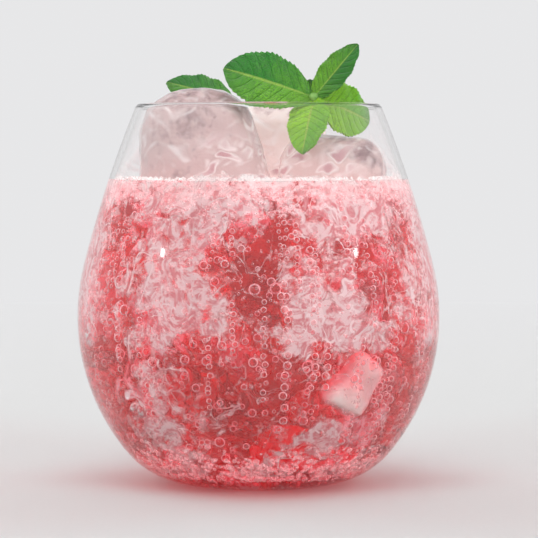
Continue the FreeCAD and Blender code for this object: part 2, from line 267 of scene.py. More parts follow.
glass = turned("glass_bowl", glass_line)
glass.data.materials.append(clear_glass())
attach(glass, "root")
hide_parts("glass")


# ---------------------------------------------------------------- the drink
# Vodka and pink tonic up to below the rim. It is clear, and its red deepens with the depth that
# one looks through. It wets the wall, so its surface turns up in a narrow meniscus there.
DRINK_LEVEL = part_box("drink")[1].z
INTO_WALL = 0.0004  # the drink reaches this far into the wall, so that no air shows between
MENISCUS_RISE = 0.0009
MENISCUS_WIDTH = 0.0035
DRINK_TINT = (0.945, 0.04, 0.19)
DRINK_DEPTH = 106.0  # per metre


def drink_material():
    """Clear liquid that takes up light along the way through it, red the least."""
    node, finish = new_material("pink_drink")
    liquid = node(
        "BsdfPrincipled",
        Base_Color=(1.0, 0.97, 0.965),
        Roughness=0.0,
        IOR=1.33,
        Transmission_Weight=1.0,
    )
    depth = node("VolumeAbsorption", Color=DRINK_TINT, Density=DRINK_DEPTH)
    return finish(liquid, (1.0, 0.97, 0.97), Volume=depth)


drink_bottom = FLOOR - INTO_WALL
wall_line = bowl_line(WALL - INTO_WALL, FLOOR_CURVE, drink_bottom, DRINK_LEVEL + MENISCUS_RISE)
surface_radius = inner_radius(DRINK_LEVEL)
meniscus = [
    (surface_radius - MENISCUS_WIDTH * share, DRINK_LEVEL + MENISCUS_RISE * (1 - share) ** 3)
    for share in np.linspace(0.08, 1, 8)
]
still = [(radius, DRINK_LEVEL) for radius in np.linspace(meniscus[-1][0], 0, 24)[1:]]
drink = turned("drink_body", [(0, drink_bottom)] + wall_line + meniscus + still, angle=50)
drink.data.materials.append(drink_material())
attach(drink, "root")
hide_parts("drink")


# ---------------------------------------------------------------- the ice above the drink
# Three lumps of tray ice, wet and melted round, cloudy inside with clear skin. Cracks in them
# show as thin white lines, and the drink tints them from below.
ICE_GRAIN = 0.0008  # the size of the mesh on these lumps
ICE_GROWN = Vector((0.0015, 0.0015, 0.0008))  # makes up for what melting takes off a block


def clouds(name, scale):
    texture = bpy.data.textures.new(name, "CLOUDS")
    texture.noise_scale = scale
    texture.noise_depth = 2
    return texture


def apply_modifier(piece, kind, **settings):
    bpy.context.view_layer.objects.active = piece
    modifier = piece.modifiers.new(kind.lower(), kind)
    for key, value in settings.items():
        setattr(modifier, key, value)
    bpy.ops.object.modifier_apply(modifier=modifier.name)


WAVY = clouds("ice_waves", 0.016)
LUMPY = clouds("ice_dents", 0.006)


def melted_block(name, size, middle, turn, lean, melt, grain, waves=0.0026, dents=0.0006):
    """A block of ice of this size, narrower at its top by the share lean, with melted edges."""
    block = start_piece(bpy.ops.mesh.primitive_cube_add, name, size=1.0)
    block.scale = size
    bpy.ops.object.transform_apply(location=False, rotation=False, scale=True)
    bpy.ops.object.mode_set(mode="EDIT")
    mesh = bmesh.from_edit_mesh(block.data)
    for vertex in mesh.verts:
        vertex.select = vertex.co.z > 0
    mesh.select_flush(True)
    bmesh.update_edit_mesh(block.data)
    bpy.ops.transform.resize(value=(1 - lean, 1 - lean, 1))
    bpy.ops.mesh.select_all(action="SELECT")
    bpy.ops.mesh.bevel(offset=melt, segments=4, affect="EDGES", clamp_overlap=True)
    bpy.ops.object.mode_set(mode="OBJECT")
    block.rotation_euler = [math.radians(angle) for angle in turn]
    block.location = middle
    bpy.ops.object.transform_apply()
    apply_modifier(block, "REMESH", mode="VOXEL", voxel_size=grain)
    apply_modifier(block, "SMOOTH", factor=0.6, iterations=6)
    apply_modifier(block, "DISPLACE", texture=WAVY, strength=waves, mid_level=0.5)
    apply_modifier(block, "DISPLACE", texture=LUMPY, strength=dents, mid_level=0.5)
    bpy.ops.object.select_all(action="DESELECT")
    block.select_set(True)
    bpy.ops.object.shade_smooth()
    return block


def ice_cracks():
    """Masks for ice, from Object coordinates: thin crack lines, and soft cloud."""
    given, node, finish = new_group("ice_cracks", ("Vector", "Crack scale"), ("Cracks", "Cloud"))
    place = given["Vector"]
    warp = node("TexNoise", place, Scale=70.0).outputs["Color"]
    bent = node("VectorMath", warp, (0.004, 0.004, 0.004), place, operation="MULTIPLY_ADD")
    lines = node("TexVoronoi", bent, Scale=given["Crack scale"], feature="DISTANCE_TO_EDGE")
    thin = node("MapRange", lines, 0.0, 0.045, 1.0, 0.0)
    patchy = node("MapRange", node("TexNoise", place, Scale=55.0, Detail=3.0), 0.52, 0.66)
    cloud = node("TexNoise", place, Scale=38.0, Detail=4.0)
    return finish(maths(node, "MULTIPLY", thin, patchy), cloud)


ICE_CRACKS = ice_cracks()


def frost_streaks():
    """Masks from Object coordinates: torn patches, fine ridges, flat faces, and thin wisps."""
    given, node, finish = new_group(
        "frost_streaks",
        ("Vector", "Patch scale", "Fine scale", "Cover"),
        ("Frost", "Fine", "Faces", "Wisps"),
    )
    place = given["Vector"]
    patch = node(
        "TexNoise", place, Scale=given["Patch scale"], Detail=5.0, Roughness=0.62, Distortion=1.6
    )
    fine = node(
        "TexNoise",
        place,
        Scale=given["Fine scale"],
        Detail=4.0,
        Distortion=1.2,
        noise_type="RIDGED_MULTIFRACTAL",
    )
    cells = node("TexVoronoi", place, Scale=85.0).outputs["Color"]
    wisps = []
    for scale, squash, width in ((62.0, (1.0, 1.0, 0.45), 0.016), (105.0, (1.0, 1.0, 1.0), 0.020)):
        squashed = node("Mapping", place, Scale=squash)
        level = node("TexNoise", squashed, Scale=scale, Detail=3.0, Distortion=1.3)
        away = node("Math", maths(node, "SUBTRACT", level, 0.5), operation="ABSOLUTE")
        line = node("MapRange", away, width, width * 0.3)
        torn = node("TexNoise", place, Scale=scale * 1.3, Detail=2.0)
        wisps.append(maths(node, "MULTIPLY", line, node("MapRange", torn, 0.46, 0.60)))
    return finish(
        node("MapRange", maths(node, "ADD", patch, given["Cover"]), 1.03, 1.07),
        node("MapRange", fine, 0.10, 0.40),
        node("MapRange", node("SeparateColor", cells), 0.55, 0.85),
        maths(node, "MAXIMUM", *wisps),
    )


FROST = frost_streaks()


def surface_ice_material(name, dark, light, start, full):
    """Cloudy ice with clear, darker windows near the drink, each with a white outline."""
    node, finish = new_material(name)
    place = node("TexCoord").outputs["Object"]
    across, _, height = node("SeparateXYZ", place).outputs
    flaws = node("Group", node_tree=ICE_CRACKS, Vector=place, Crack_scale=42.0).outputs
    streaks = node(
        "Group", node_tree=FROST, Vector=place, Patch_scale=34.0, Fine_scale=170.0, Cover=0.53
    ).outputs
    frosting = node("TexNoise", place, Scale=420.0, Detail=4.0)
    # painted light: the middle of the three lumps, round x = 5 mm, is made paler
    from_middle = node("Math", maths(node, "SUBTRACT", across, 0.005), operation="ABSOLUTE")
    middle = node("MapRange", from_middle, 0.027, 0.018)

    # how pale the cloud in it is: paler low down and in grains, and paler in the middle as painted
    # light, where the back lump sits in the shade of the other two
    faint = maths(node, "MULTIPLY", streaks["Frost"], 0.055)
    paler = node("MapRange", height, 0.1120, 0.0890, 0.0, 0.10)
    cloud = maths(node, "ADD", faint, flaws["Cloud"])
    cloud = maths(node, "ADD", cloud, paler)
    cloud = node("Math", frosting, 0.30, cloud, operation="MULTIPLY_ADD")
    cloud = node("Math", middle, 0.08, cloud, operation="MULTIPLY_ADD")
    body = node("MixRGB", node("MapRange", cloud, start, full), dark, light)

    # the windows: slanting cells in the low middle, where the ice melts fastest
    bend = node("TexNoise", place, Scale=95.0, Detail=2.0)
    bent = node(
        "VectorMath", bend.outputs["Color"], (0.016, 0.016, 0.016), place, operation="MULTIPLY_ADD"
    )
    slant = node("Mapping", bent, Rotation=(0, math.radians(-38), 0), Scale=(1.0, 1.0, 2.3))
    windows = node("TexVoronoi", slant, Scale=118.0)
    inside = node("MapRange", windows, 0.28, 0.44, 1.0, 0.0)
    outside = node("MapRange", windows, 0.43, 0.56, 0.75, 0.0)
    low = node("MapRange", height, 0.1030, 0.0960)
    some = maths(node, "MULTIPLY", low, middle, node("MapRange", bend, 0.41, 0.48))
    rings = maths(node, "MULTIPLY", outside, some)
    holes = maths(node, "MULTIPLY", inside, some)

    white = maths(node, "MAXIMUM", flaws["Cracks"], rings)
    flecks = maths(node, "MULTIPLY", streaks["Fine"], 0.60)
    lined = node("MixRGB", maths(node, "MAXIMUM", white, flecks), body, (1.0, 0.98, 0.97))
    glazed = node("MixRGB", holes, lined, (0.60, 0.36, 0.38))
    bump = node("Bump", Strength=0.4, Distance=0.0006, Height=white, invert=True)
    dimple = node("Bump", Strength=0.45, Distance=0.0006, Height=frosting, Normal=bump)
    ice = node(
        "BsdfPrincipled",
        Base_Color=glazed,
        Roughness=0.24,
        IOR=1.31,
        Normal=dimple,
        Subsurface_Weight=0.25,
        Subsurface_Radius=(1.0, 0.8, 0.8),
        Subsurface_Scale=0.004,
        Transmission_Weight=0.25,
        Coat_Weight=0.8,
        Coat_Roughness=0.04,
    )
    return finish(ice, (0.94, 0.90, 0.90))


# Lighter and darker copies of one ice: partly how cloudy each lump is, and partly painted light and
# shade, with the back lump, shaded by the others, painted white and the left lump painted darker.
GREY_ICE = surface_ice_material("grey_ice", (0.24, 0.16, 0.17), (0.66, 0.50, 0.49), 0.61, 0.78)
WHITE_ICE = surface_ice_material("white_ice", (0.50, 0.36, 0.36), (0.92, 0.82, 0.79), 0.55, 0.71)
PALE_ICE = surface_ice_material("pale_ice", (0.26, 0.17, 0.18), (0.76, 0.60, 0.58), 0.60, 0.78)

# Each lump's turn in degrees, lean, melt and material.
LUMPS = {
    "ice_left": ((0, -5, 3), 0.34, 0.0095, GREY_ICE),
    "ice_back": ((0, 0, -3), 0.16, 0.0085, WHITE_ICE),
    "ice_right": ((0, 4, -3), 0.12, 0.0080, PALE_ICE),
}
for node_name, (turn, lean, melt, material) in LUMPS.items():
    low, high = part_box(node_name)
    size = high - low + ICE_GROWN
    lump = melted_block(f"{node_name}_lump", size, (low + high) / 2, turn, lean, melt, ICE_GRAIN)
    lump.data.materials.append(material)
    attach(lump, "root")
    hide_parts(node_name)


# ---------------------------------------------------------------- the ice in the drink
# More lumps of the same tray ice, packed from the foot to the surface. They are clear in the
# drink, so what shows of them is their frosted skin, cracks and melt streaks, and white edges
# that are a painted highlight where a lump is seen edge-on.
ICE_IN_DRINK = 1.16  # bends light more than real ice in a drink, so that a clear lump shows
SPOT_CORE = 0.0005  # metres, for each mm of a cloudy place's reach, that have its full amount
SPOT_END = 0.0013  # and metres, for each mm of it, to where it ends
SUNK_LEAN = 0.10
SUNK_MELT = 0.0035
SUNK_GRAIN = 0.0012
SHARD_LEAN = 0.35
SHARD_MELT = 0.0032
SHARD_GRAIN = 0.0006

# Clear (below zero) and thick (above zero) places: degrees round from the front, height and
# reach in mm, and how much is added there.
CLOUDED = (
    (-3, 68, 12, -0.85),
    (1, 76, 8, -0.45),
    (-3, 56, 9, -0.80),
    (-50, 66, 9, -0.80),
    (-51, 74, 7, -0.60),
    (42, 61, 9, -0.75),
    (-55, 34, 13, -0.85),
    (-14, 35, 11, -0.85),
    (4, 35, 11, -0.85),
    (1, 24, 11, -0.75),
    (38, 33, 10, -0.90),
    (56, 34, 13, -0.85),
    (-15, 81, 11, 0.50),
    (36, 79, 12, 0.60),
    (-22, 56, 11, 0.55),
    (27, 53, 12, 0.65),
    (-85, 66, 20, 0.60),
    (85, 66, 20, 0.60),
    (-34, 30, 10, 0.60),
    (-12, 45, 7, 0.45),
    (14, 44, 7, 0.45),
    (15, 16, 7, 0.60),
    (-15, 62, 3.5, 0.60),
    (-14, 57, 4, 0.80),
    (-12, 51, 5, 0.90),
    (-32, 12, 9, 0.35),
    (-15, 21, 6, 0.45),
)

# How thick it is otherwise, up from the foot: share of the drink's height, and amount.
THICK_LOWEST = (0.09, 0.85)
THICK_HIGHEST = (0.93, 1.0)
THICK_BETWEEN = ((0.16, 0.46), (0.465, 0.36), (0.490, 0.82), (0.80, 0.82))


def round_about(degrees, out, height):
    """A point this many degrees round to the right from the front: mm given, metres back."""
    turn = math.radians(degrees)
    return Vector((out * math.sin(turn), -out * math.cos(turn), height)) / 1000


def cloudy_places():
    """From Object coordinates, how thick with froth and frost the drink is there."""
    given, node, finish = new_group("cloudy_places", ("Vector",), ("Thick",))
    place = given["Vector"]
    bend = node("TexNoise", place, Scale=75.0, Detail=3.0).outputs["Color"]
    centred = node("VectorMath", bend, (0.5, 0.5, 0.5), operation="SUBTRACT")
    bent = node("VectorMath", centred, (0.030, 0.030, 0.030), place, operation="MULTIPLY_ADD")
    level = node("SeparateXYZ", place).outputs["Z"]
    zones = node("ValToRGB", maths(node, "DIVIDE", level, DRINK_LEVEL))
    stops = zones.color_ramp.elements
    for stop, (share, amount) in zip(stops, (THICK_LOWEST, THICK_HIGHEST)):
        stop.position = share
        stop.color = (amount, amount, amount, 1)
    for share, amount in THICK_BETWEEN:
        stops.new(share).color = (amount, amount, amount, 1)
    patch = node("TexNoise", bent, Scale=52.0, Detail=3.0)
    total = maths(node, "ADD", zones, node("MapRange", patch, 0.3, 0.7, -0.45, 0.45))
    for degrees, height, reach, gain in CLOUDED:
        centre = round_about(degrees, inner_radius(height / 1000) * 1000, height)
        away = node("VectorMath", bent, centre, operation="DISTANCE").outputs["Value"]
        fall = node("MapRange", away, reach * SPOT_CORE, reach * SPOT_END, gain, 0.0)
        total = maths(node, "ADD", total, fall)
    return finish(total)


CLOUDY = cloudy_places()


def sunk_material(name, least, most, thin, skin):
    """Clear ice in the drink, part covered with frost that runs from the colour thin to skin, and
    painted white where it is seen edge-on, as a painted highlight.
    """
    node, finish = new_material(name)
    place = node("TexCoord").outputs["Object"]
    thick = node("Group", node_tree=CLOUDY, Vector=place)
    covered = node("MapRange", thick, 0.0, 1.0, least, most)
    cracks = node("Group", node_tree=ICE_CRACKS, Vector=place, Crack_scale=45.0).outputs["Cracks"]
    streaks = node(
        "Group", node_tree=FROST, Vector=place, Patch_scale=50.0, Fine_scale=130.0, Cover=covered
    ).outputs
    torn = maths(node, "MULTIPLY", streaks["Frost"], 0.93)
    wisps = node("MapRange", streaks["Fine"], 0.15, 0.55, 0.0, 0.85)
    faces = maths(node, "MULTIPLY", streaks["Faces"], 0.22)
    # painted highlight: the frost turns white where the lump is seen edge-on
    facing = node("LayerWeight", Blend=0.35).outputs["Facing"]
    outline = node("MapRange", facing, 0.72, 0.97, 0.0, 0.5)
    frosted = maths(node, "MAXIMUM", torn, wisps, cracks, faces, outline)
    bump = node("Bump", Strength=1.0, Distance=0.0012, Height=streaks["Fine"])
    clear = node(
        "BsdfPrincipled",
        Base_Color=(1.0, 0.97, 0.97),
        Roughness=0.03,
        IOR=ICE_IN_DRINK,
        Normal=bump,
        Transmission_Weight=1.0,
    )
    mottle = node("TexNoise", place, Scale=200.0, Detail=4.0, Roughness=0.62, Distortion=1.8)
    rime = node("MixRGB", node("MapRange", mottle, 0.45, 0.55), thin, skin)
    grain = node("Bump", Strength=0.5, Distance=0.0004, Height=streaks["Fine"])
    frost = node("BsdfPrincipled", Base_Color=rime, Roughness=0.35, Normal=grain)
    return finish(node("MixShader", frosted, clear, frost), (0.98, 0.95, 0.95))


SUNK_ICE = sunk_material("sunk_ice", 0.44, 0.61, thin=(0.74, 0.24, 0.27), skin=(1.0, 1.0, 1.0))
SHARD_ICE = sunk_material("white_shard", 0.80, 0.80, thin=(1.0, 0.97, 0.90), skin=(1.0, 1.0, 0.94))

# Each lump's place: degrees round from the front, distance out, height; its size; its turn.
SUNK = (
    (-46, 31, 69, (25, 18, 22), (12, 24, 28)),
    (-12, 37, 73, (24, 9, 11), (-8, -38, -12)),
    (44, 31, 69, (26, 18, 21), (20, -16, -30)),
    (-33, 35, 51, (27, 17, 26), (-14, -12, 24)),
    (34, 34, 51, (25, 18, 24), (10, 14, -30)),
    (-80, 38, 52, (26, 16, 27), (8, 12, 80)),
    (80, 38, 52, (26, 16, 26), (-8, 10, 98)),
    (-48, 33, 31, (26, 18, 20), (16, 20, 38)),
    (-12, 38, 41, (22, 8, 7), (-16, 24, 8)),
    (46, 33, 30, (24, 18, 26), (-12, 28, -40)),
    (-95, 33, 29, (24, 18, 22), (-20, 14, 70)),
    (96, 33, 29, (24, 18, 22), (14, -18, 100)),
    (-40, 20, 14, (26, 20, 15), (6, 8, 14)),
    (38, 20, 14, (26, 20, 15), (-8, 6, -20)),
    (180, 16, 14, (28, 22, 15), (-6, 10, 10)),
    (180, 6, 60, (24, 20, 26), (30, 12, 16)),
    (150, 8, 36, (26, 20, 24), (-20, 24, 50)),
    (-120, 32, 70, (26, 19, 22), (14, -18, 62)),
    (122, 32, 69, (26, 19, 22), (-16, 22, -54)),
    (180, 32, 66, (26, 18, 24), (18, 10, 4)),
    (-140, 36, 48, (26, 17, 25), (-8, -14, -30)),
    (142, 36, 48, (26, 17, 25), (10, 16, 32)),
    (-150, 31, 28, (25, 18, 22), (14, 18, -24)),
    (152, 31, 28, (25, 18, 22), (-16, -10, 30)),
)

# A lump that froze white right through, low on the right, and two more like it behind. The one low
# on the right is also a painted highlight, white where light catches the drink there.
SHARDS = (
    (36, 44.4, 33, (15.5, 7.6, 16.0), (14, 28, 36)),
    (150, 45.4, 40, (10, 7.0, 12), (8, -26, 150)),
    (-105, 46.0, 44, (9, 6.4, 12), (4, 22, -105)),
)


def lumps_in_drink(name, lumps, lean, melt, grain, waves, dents):
    """Makes the listed lumps and joins them into one piece."""
    made = []
    for number, (degrees, out, height, size, turn) in enumerate(lumps):
        middle = round_about(degrees, out, height)
        size = Vector(size) / 1000
        made.append(
            melted_block(f"lump_{number}", size, middle, turn, lean, melt, grain, waves, dents)
        )
    bpy.ops.object.select_all(action="DESELECT")
    for lump in made:
        lump.select_set(True)
    bpy.context.view_layer.objects.active = made[0]
    bpy.ops.object.join()
    joined = bpy.context.object
    joined.name = name
    joined.data.name = name
    return joined


sunk_ice = lumps_in_drink(
    "sunk_ice", SUNK, SUNK_LEAN, SUNK_MELT, SUNK_GRAIN, waves=0.005, dents=0.0016
)
sunk_ice.data.materials.append(SUNK_ICE)
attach(sunk_ice, "root")

white_shards = lumps_in_drink(
    "white_shards", SHARDS, SHARD_LEAN, SHARD_MELT, SHARD_GRAIN, waves=0.006, dents=0.0012
)
white_shards.data.materials.append(SHARD_ICE)
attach(white_shards, "root")


# ---------------------------------------------------------------- the fizz
# Fine froth that clouds the drink near the wall, mostly in its upper half, and bubbles of gas
# that cling to the wall, rise in strings, and gather under the surface and over the foot.
FROTH_DEPTH = 0.0007  # behind the inside of the wall
COLLAR_DEPTH = 0.00006
BUBBLE_GAP = 0.0001  # between the wall and a bubble
SMALL_COUNT = 4200
SMALL_RADIUS = 0.00034
LARGE_COUNT = 1250
LARGE_RADIUS = 0.00088
LARGEST_RADIUS = 0.0017
STRING_COUNT = 110
FOAM_COUNT = 5200
FOAM_RADIUS = 0.00050
FOAM_ABOVE = 0.0021  # the top of the foam at the wall, over the drink's level
FOAM_HEIGHT = 0.0105
FOOT_FOAM_COUNT = 2600
FOOT_FOAM_RADIUS = 0.00055
FOOT_FOAM_HEIGHT = 0.010
WHOLE_TURN = 2 * math.pi


def froth_material():
    """A cloud of bubbles too small to tell apart: specks in patches, thicker higher up, with white
    streaks that are partly the froth's own white and partly painted highlight.
    """
    node, finish = new_material("fine_froth")
    place = node("TexCoord").outputs["Object"]
    thick = node("Group", node_tree=CLOUDY, Vector=place)
    streaks = node("Group", node_tree=FROST, Vector=place, Fine_scale=240.0).outputs
    lines = node("Math", streaks["Fine"], thick, operation="MULTIPLY", use_clamp=True)
    wispy = node("MapRange", thick, 0.0, 0.8, 0.55, 1.0)
    # partly painted highlight: the white lines, wisps and pale marbling turn the froth near white
    white = maths(node, "MAXIMUM", lines, maths(node, "MULTIPLY", streaks["Wisps"], wispy))
    marble = node("TexNoise", place, Scale=140.0, Detail=6.0, Roughness=0.66, Distortion=3.2)
    pale = maths(node, "MAXIMUM", white, node("MapRange", marble, 0.44, 0.55))
    tone = node("MixRGB", pale, (0.74, 0.34, 0.36), (1.0, 1.0, 0.98))
    swirl = node("TexNoise", place, Scale=120.0, Detail=5.0, Roughness=0.64, Distortion=2.2)
    specks = node("TexNoise", place, Scale=1500.0, Detail=2.0)
    cover = node("Math", swirl, 3.6, thick, operation="MULTIPLY_ADD")
    cover = node("Math", specks, 0.5, cover, operation="MULTIPLY_ADD")
    shown = maths(node, "MAXIMUM", node("MapRange", cover, 2.60, 3.20, 0.0, 0.86), white)
    froth = node("BsdfPrincipled", Base_Color=tone, Roughness=0.5)
    return finish(node("MixShader", shown, node("BsdfTransparent"), froth), (1.0, 1.0, 1.0))


def collar_material():
    """Thick froth where the drink's surface meets the wall, with a ragged top and bottom."""
    node, finish = new_material("froth_collar")
    place = node("TexCoord").outputs["Object"]
    level = node("SeparateXYZ", place).outputs["Z"]
    grains = node("TexNoise", place, Scale=1100.0, Detail=3.0)
    waves = node("TexNoise", place, Scale=60.0, Detail=3.0)
    ragged = node("Math", grains, 0.0030, level, operation="MULTIPLY_ADD")
    ragged = node("Math", waves, 0.0100, ragged, operation="MULTIPLY_ADD")
    below = node("MapRange", ragged, DRINK_LEVEL + 0.0082, DRINK_LEVEL + 0.0074)
    above = node("MapRange", ragged, DRINK_LEVEL + 0.0010, DRINK_LEVEL + 0.0066)
    marble = node("TexNoise", place, Scale=160.0, Detail=5.0, Roughness=0.64, Distortion=2.6)
    marbled = node("MapRange", marble, 0.42, 0.58)
    thinner = node("MapRange", marbled, 0.0, 1.0, 0.35, 1.0)
    cover = maths(node, "MULTIPLY", below, above, thinner)
    tone = node("MixRGB", marbled, (0.76, 0.50, 0.50), (1.0, 0.90, 0.89))
    bump = node("Bump", Strength=0.5, Distance=0.0005, Height=grains)
    froth = node("BsdfPrincipled", Base_Color=tone, Roughness=0.5, Normal=bump)
    return finish(node("MixShader", cover, node("BsdfTransparent"), froth), (1.0, 1.0, 1.0))


froth_line = [
    (inner_radius(height) - FROTH_DEPTH, height)
    for height in np.linspace(0.007, DRINK_LEVEL - 0.0004, 60)
]
froth = turned("wall_froth", froth_line)
froth.data.materials.append(froth_material())
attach(froth, "root")

collar_line = [
    (inner_radius(height) - COLLAR_DEPTH, height)
    for height in np.linspace(DRINK_LEVEL - 0.0070, DRINK_LEVEL + 0.0040, 14)
]
collar = turned("froth_collar", collar_line)
collar.data.materials.append(collar_material())
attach(collar, "root")

BALLS = {}
for detail in (1, 2):
    ball = start_piece(
        bpy.ops.mesh.primitive_ico_sphere_add, "ball", subdivisions=detail, radius=1.0
    )
    points = np.array([vertex.co for vertex in ball.data.vertices])
    faces = np.array([face.vertices for face in ball.data.polygons])
    BALLS[detail] = (points, faces)
    bpy.data.objects.remove(ball)


def bubble_cloud(name, bubbles, detail, material):
    """One mesh of many balls, each (x, y, z, radius)."""
    points, faces = BALLS[detail]
    bubbles = np.asarray(bubbles)
    places = bubbles[:, None, :3] + bubbles[:, None, 3:] * points[None]
    corners = faces[None] + (np.arange(len(bubbles)) * len(points))[:, None, None]
    mesh = bpy.data.meshes.new(name)
    mesh.from_pydata(places.reshape(-1, 3), [], corners.reshape(-1, 3))
    mesh.shade_smooth()
    piece = bpy.data.objects.new(name, mesh)
    bpy.context.scene.collection.objects.link(piece)
    mesh.materials.append(material)
    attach(piece, "root")


def bubble_material(name, rim, middle, start, full, least):
    """A ball of air in the drink: nearly clear in the middle, and bright where one sees it edge on, as
    a painted highlight ring that stands in for light reflected inside the bubble.
    """
    node, finish = new_material(name)
    shine = node("BsdfPrincipled", Base_Color=rim, Roughness=0.12)
    clear = node("BsdfTransparent", Color=middle)
    # painted highlight: the rim turns bright by how edge-on the ball is seen
    facing = node("LayerWeight", Blend=0.5).outputs["Facing"]
    painted_highlight_ring = node("MapRange", facing, start, full, least, 0.95)
    return finish(node("MixShader", painted_highlight_ring, clear, shine), (1.0, 1.0, 1.0))


BUBBLE = bubble_material(
    "gas_bubble", rim=(1.0, 1.0, 1.0), middle=(1.0, 0.78, 0.79), start=0.26, full=0.44, least=0.02
)
FOAM = bubble_material(
    "surface_foam", rim=(1.0, 0.92, 0.91), middle=(1.0, 0.97, 0.97), start=0.1, full=0.6, least=0.35
)
dice = random.Random(7)


def wall_bubble(height, turn, radius, depth):
    """A bubble that lies depth behind the inside of the wall."""
    away = inner_radius(height) - radius - BUBBLE_GAP - depth
    return (away * math.cos(turn), away * math.sin(turn), height, radius)


small, large, foam = [], [], []
for number in range(SMALL_COUNT):
    height = 0.006 + (DRINK_LEVEL - 0.0075) * dice.betavariate(1.7, 1.1)
    radius = dice.lognormvariate(math.log(SMALL_RADIUS), 0.25)
    depth = dice.choice((0, 0, 0, dice.uniform(0, 0.006)))
    small.append(wall_bubble(height, dice.uniform(0, WHOLE_TURN), radius, depth))
for number in range(LARGE_COUNT):
    height = dice.uniform(0.008, DRINK_LEVEL - 0.003)
    radius = min(dice.lognormvariate(math.log(LARGE_RADIUS), 0.34), LARGEST_RADIUS)
    large.append(wall_bubble(height, dice.uniform(0, WHOLE_TURN), radius, dice.uniform(0, 0.003)))
for number in range(STRING_COUNT):
    turn = dice.uniform(0, WHOLE_TURN)
    height = dice.uniform(0.012, 0.068)
    depth = dice.choice((0.0, 0.0, dice.uniform(0, 0.012)))
    radius = dice.uniform(0.0005, 0.0012)
    for step in range(dice.randint(5, 14)):
        height += radius * dice.uniform(2.1, 3.4)
        if height > DRINK_LEVEL - 0.002:
            break
        sway = dice.uniform(-0.0005, 0.0005) / 0.045
        large.append(wall_bubble(height, turn + sway, radius * dice.uniform(0.8, 1.15), depth))
for number in range(FOAM_COUNT):
    turn = dice.uniform(0, WHOLE_TURN)
    radius = dice.lognormvariate(math.log(FOAM_RADIUS), 0.35)
    if dice.random() < 0.62:
        height = DRINK_LEVEL + FOAM_ABOVE - dice.betavariate(1.1, 2.2) * FOAM_HEIGHT - radius
        foam.append(wall_bubble(height, turn, radius, dice.uniform(0, 0.0012)))
    else:
        out = inner_radius(DRINK_LEVEL) * math.sqrt(dice.random()) - radius
        height = DRINK_LEVEL - radius * dice.uniform(-0.5, 1.2)
        foam.append((out * math.cos(turn), out * math.sin(turn), height, radius))
for number in range(FOOT_FOAM_COUNT):
    turn = dice.uniform(0, WHOLE_TURN)
    radius = dice.lognormvariate(math.log(FOOT_FOAM_RADIUS), 0.35)
    height = FLOOR + 0.0006 + dice.betavariate(1, 2.2) * FOOT_FOAM_HEIGHT + radius
    foam.append(wall_bubble(height, turn, radius, dice.choice((0, 0, 0, dice.uniform(0, 0.014)))))
bubble_cloud("small_bubbles", small, 1, BUBBLE)
bubble_cloud("large_bubbles", large, 2, BUBBLE)
bubble_cloud("surface_foam", foam, 1, FOAM)


# ---------------------------------------------------------------- the mint
# A picked tip of spearmint: two pairs of leaves and two young ones on one joint, whose cut stem
# stands on the right lump, and one loose leaf behind. The leaves are toothed and puckered
# between their veins, with pale undersides.
VEIN_PAIRS = 9.0
VEIN_LEAN = 0.20  # how far the side veins run to the tip, as a share of the leaf's length
VEIN_CURVE = 1.15
LEAF_THICK = 0.0005
STALK_WIDE = 0.0016
BLADE_FULLNESS = 0.60
TEETH = 19
TOOTH_SIZE = 0.075
PUCKER = 0.00026
EDGE_WAVE = 0.0004
STEM_RADIUS = 0.0011
STEM_LONG = 0.01185
STEM_LEAN = 25
BUD_RADIUS = 0.0014
SPRIG_JOINT = Vector((0.01585, -0.01510, 0.11225))
LOOSE_STALK = Vector((-0.00820, 0.01760, 0.11195))


def vein_pattern():
    """Masks on a leaf's own UV map, whose u runs from stalk to tip: midrib, side veins, net, the lower
    half for painted light and shade, and the way along.
    """
    given, node, finish = new_group(
        "leaf_veins", ("UV", "Pairs"), ("Midrib", "Veins", "Net", "Half", "Along")
    )
    along, upward, _ = node("SeparateXYZ", given["UV"]).outputs
    centred = node("Math", upward, 2.0, -1.0, operation="MULTIPLY_ADD")
    across = node("Math", centred, operation="ABSOLUTE")
    lean = maths(node, "MULTIPLY", maths(node, "POWER", across, VEIN_CURVE), VEIN_LEAN)
    phase = maths(node, "MULTIPLY", maths(node, "SUBTRACT", along, lean), given["Pairs"])
    part = maths(node, "SUBTRACT", node("Math", phase, operation="FRACT"), 0.5)
    near = maths(node, "SUBTRACT", 0.5, node("Math", part, operation="ABSOLUTE"))
    cells = node("TexVoronoi", given["UV"], Scale=34.0, feature="DISTANCE_TO_EDGE")
    return finish(
        node("MapRange", across, 0.02, 0.07, 1.0, 0.0),
        node("MapRange", near, 0.02, 0.13, 1.0, 0.0),
        node("MapRange", cells, 0.0, 0.16, 1.0, 0.0),
        node("MapRange", upward, 0.47, 0.53, 1.0, 0.0),
        along,
    )


LEAF_VEINS = vein_pattern()


